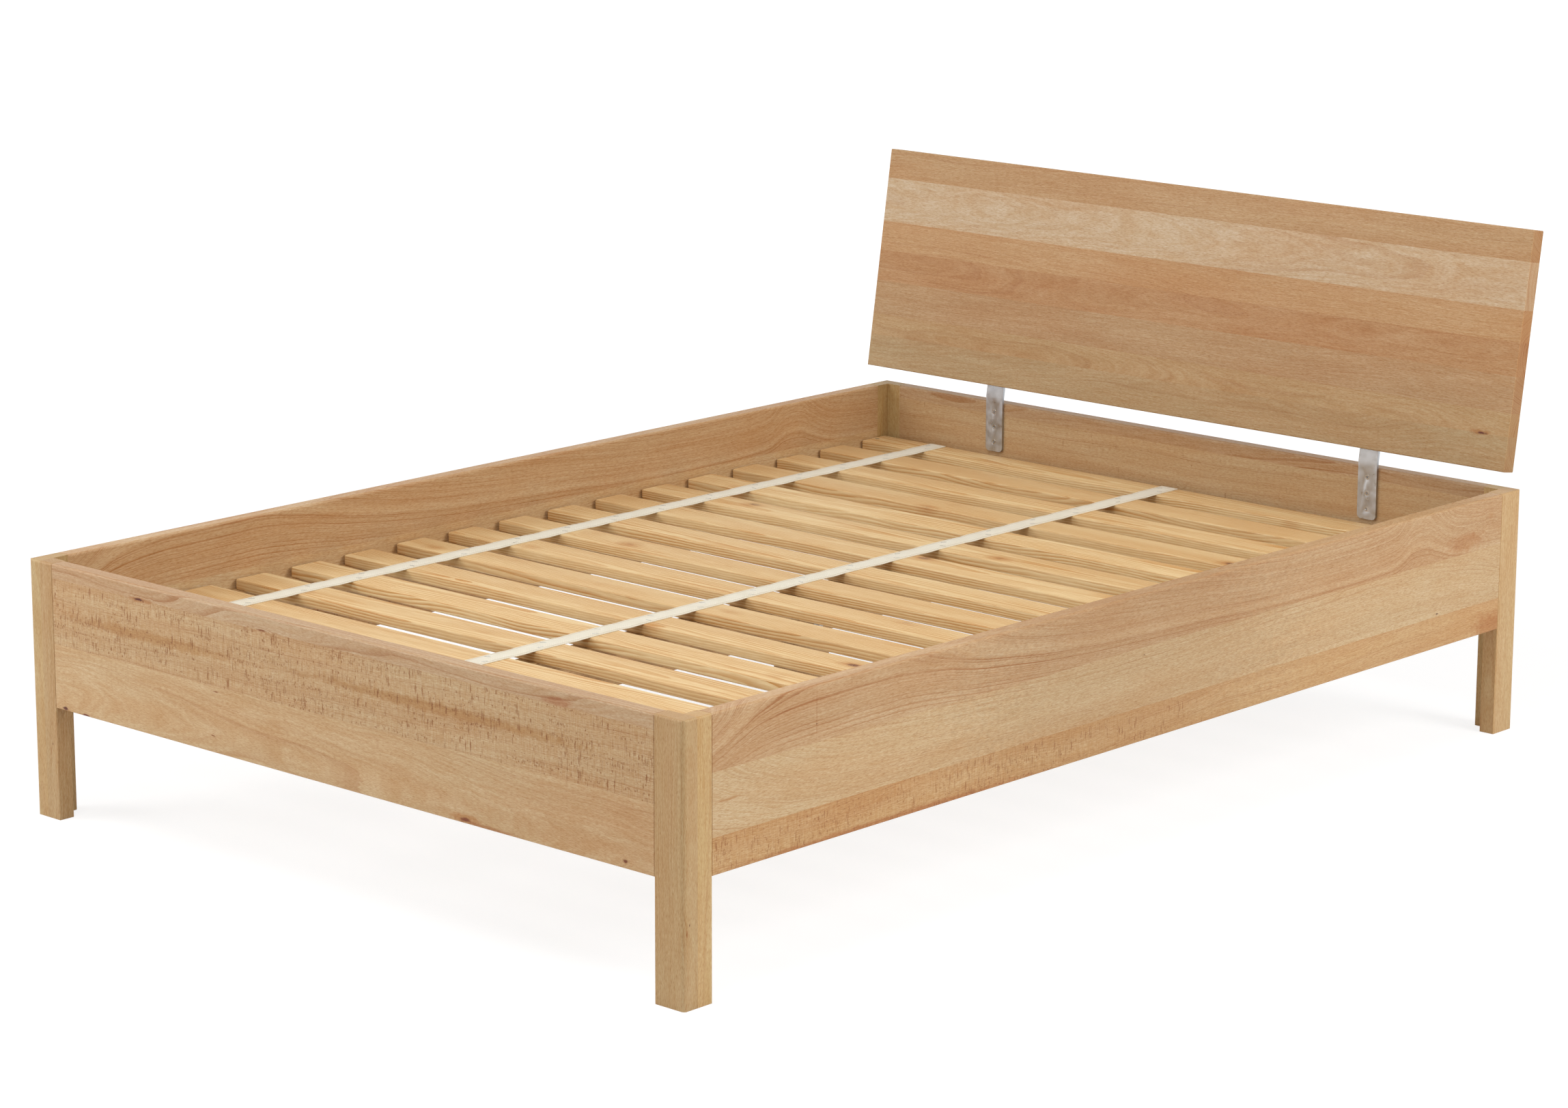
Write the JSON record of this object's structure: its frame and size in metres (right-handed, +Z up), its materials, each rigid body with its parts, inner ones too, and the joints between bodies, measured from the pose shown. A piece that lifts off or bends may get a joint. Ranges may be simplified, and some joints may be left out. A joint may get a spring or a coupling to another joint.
{
  "type": "wooden bed frame",
  "caption": "Low solid-beech double bed frame with L-shaped corner legs, deep plain rails, a slatted base and a headboard that floats above the frame and leans back.",
  "frame": {"origin": "on the floor under the middle of the four legs, which is the middle of the centre leg's pad", "axes": "+Z up, +Y towards the head end, +X towards the right side as seen from the foot end"},
  "size_m": [1.46, 2.1258, 0.8786],
  "materials": {
    "leg_beech": "oiled beech, straight grain, satin",
    "rail_beech": "oiled beech, glued staves with ray flecks and cathedral figure, satin",
    "headboard_beech": "oiled beech, seven glued staves, satin",
    "inner_beech": "oiled beech, planed",
    "slat_pine": "planed pine, untreated",
    "webbing": "undyed woven cotton webbing",
    "zinc_steel": "zinc-plated steel",
    "screw_steel": "bright zinc-plated steel",
    "insert_brass": "plain brass",
    "dowel_beech": "turned beech, dry",
    "pad_plastic": "dark grey moulded plastic"
  },
  "bodies": {
    "frame": {"leg_foot_left": "leg_beech", "leg_foot_right": "leg_beech", "leg_head_right": "leg_beech", "leg_head_left": "leg_beech", "side_rail_left": "rail_beech", "side_rail_right": "rail_beech", "foot_panel": "rail_beech", "head_rail": "rail_beech", "headboard": "headboard_beech", "cleat_left": "inner_beech", "cleat_right": "inner_beech", "centre_beam": "inner_beech", "centre_leg": "inner_beech", "slat_01": "slat_pine", "slat_02": "slat_pine", "slat_03": "slat_pine", "slat_04": "slat_pine", "slat_05": "slat_pine", "slat_06": "slat_pine", "slat_07": "slat_pine", "slat_08": "slat_pine", "slat_09": "slat_pine", "slat_10": "slat_pine", "slat_11": "slat_pine", "slat_12": "slat_pine", "slat_13": "slat_pine", "slat_14": "slat_pine", "slat_15": "slat_pine", "slat_16": "slat_pine", "slat_17": "slat_pine", "strap_left": "webbing", "strap_centre": "webbing", "strap_right": "webbing", "corner_bracket_foot_left": "zinc_steel", "corner_bracket_foot_right": "zinc_steel", "corner_bracket_head_right": "zinc_steel", "corner_bracket_head_left": "zinc_steel", "corner_bolts": "zinc_steel", "beam_hanger_foot": "zinc_steel", "beam_hanger_head": "zinc_steel", "headboard_bracket_left": "zinc_steel", "headboard_bracket_right": "zinc_steel", "centre_leg_bolt": "zinc_steel", "centre_leg_washer": "zinc_steel", "centre_leg_nut": "zinc_steel", "cleat_screws": "screw_steel", "slat_screws": "screw_steel", "hanger_screws": "screw_steel", "headboard_screws": "screw_steel", "corner_inserts": "insert_brass", "levelling_insert": "insert_brass", "corner_dowels": "dowel_beech"},
    "levelling_foot": {"levelling_spindle": "zinc_steel", "levelling_pad": "pad_plastic"}
  },
  "joints": [
    {"name": "levelling_foot_travel", "type": "slide", "parent": "frame", "child": "levelling_foot", "axis": [0, 0, 1], "range_m": [0, 0.014]}
  ]
}
